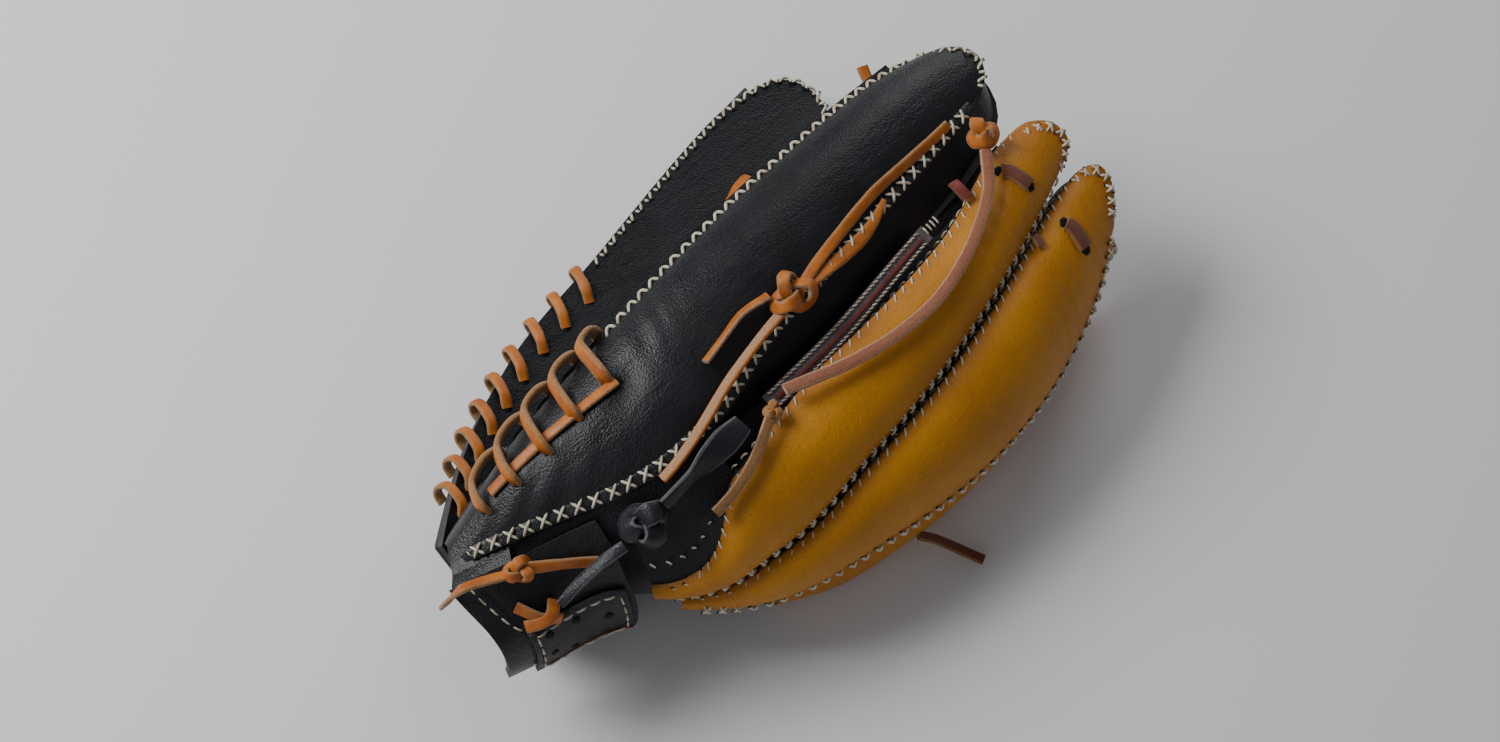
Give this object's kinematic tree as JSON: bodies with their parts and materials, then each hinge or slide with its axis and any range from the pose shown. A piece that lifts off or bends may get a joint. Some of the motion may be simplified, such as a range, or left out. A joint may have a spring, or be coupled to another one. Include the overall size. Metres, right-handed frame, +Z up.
{
  "type": "baseball glove",
  "caption": "Left-hand fielding glove lying on its thumb side, nearly closed, with laced heel, closed web, padded palm and tied lace ends.",
  "frame": {"origin": "centre of the footprint on the ground, the lowest point of the thumb back", "axes": "+X from the heel to the finger tips, +Y towards the open side of the pocket, +Z up"},
  "size_m": [0.3209, 0.2199, 0.1143],
  "materials": {
    "black_leather": "grained, satin",
    "mustard_leather": "smooth, satin",
    "lining_leather": "suede",
    "wool_felt": "felted",
    "lace_rawhide": "smooth on one face, rough on the other",
    "welt_red": "rolled edge"
  },
  "bodies": {
    "finger_half": {"finger_gap_lace": "lace_rawhide", "gusset_tail": "lace_rawhide", "gusset_tie_knot": "lace_rawhide", "gusset_welt": "welt_red", "heel_back_panel": "black_leather", "heel_guide_lace": "lace_rawhide", "heel_pad_pinky": "wool_felt", "index_back": "mustard_leather", "index_gusset": "black_leather", "index_lace_tail": "lace_rawhide", "index_pad": "wool_felt", "index_stall_lining": "lining_leather", "middle_back": "mustard_leather", "middle_gusset": "black_leather", "middle_pad": "wool_felt", "middle_stall_lining": "lining_leather", "middle_tip_lace": "lace_rawhide", "opening_binding": "lining_leather", "palm_lining_fingers": "lining_leather", "palm_shell_fingers": "black_leather", "pinky_back": "black_leather", "pinky_gap_lace": "lace_rawhide", "pinky_gusset": "black_leather", "pinky_heel_lace": "lace_rawhide", "pinky_stall_lining": "lining_leather", "pinky_tail_long": "lace_rawhide", "pinky_tail_short": "lace_rawhide", "pinky_tie_knot": "lace_rawhide", "pinky_tie_lace": "lace_rawhide", "pinky_tie_return": "lace_rawhide", "ring_back": "mustard_leather", "ring_gusset": "black_leather", "ring_pad": "wool_felt", "ring_stall_lining": "lining_leather", "ring_tip_lace": "lace_rawhide", "tip_tail": "lace_rawhide", "tip_tie_knot": "lace_rawhide", "wrist_cross_lace": "lace_rawhide", "wrist_lace": "lace_rawhide", "wrist_lace_knot": "lace_rawhide", "wrist_lace_tail": "lace_rawhide", "wrist_strap": "black_leather", "wrist_thong_down": "black_leather", "wrist_thong_knot": "black_leather", "wrist_thong_up": "black_leather"},
    "thumb_half": {"heel_pad_thumb": "wool_felt", "index_web_lace": "lace_rawhide", "palm_lining_thumb": "lining_leather", "palm_shell_thumb": "black_leather", "thumb_back": "black_leather", "thumb_base_panel": "black_leather", "thumb_gusset": "black_leather", "thumb_heel_lace": "lace_rawhide", "thumb_stall_lining": "lining_leather", "thumb_web_lace": "lace_rawhide", "web_back_panel": "black_leather", "web_crown": "mustard_leather", "web_palm_panel": "black_leather", "web_spine_lace": "lace_rawhide"}
  },
  "joints": [
    {"name": "glove_close", "type": "hinge", "parent": "thumb_half", "child": "finger_half", "pos_m": [-0.14057, -0.01641, 0.01301], "axis": [0.9801, -0.196, -0.0302], "range_deg": [0, 40]}
  ]
}
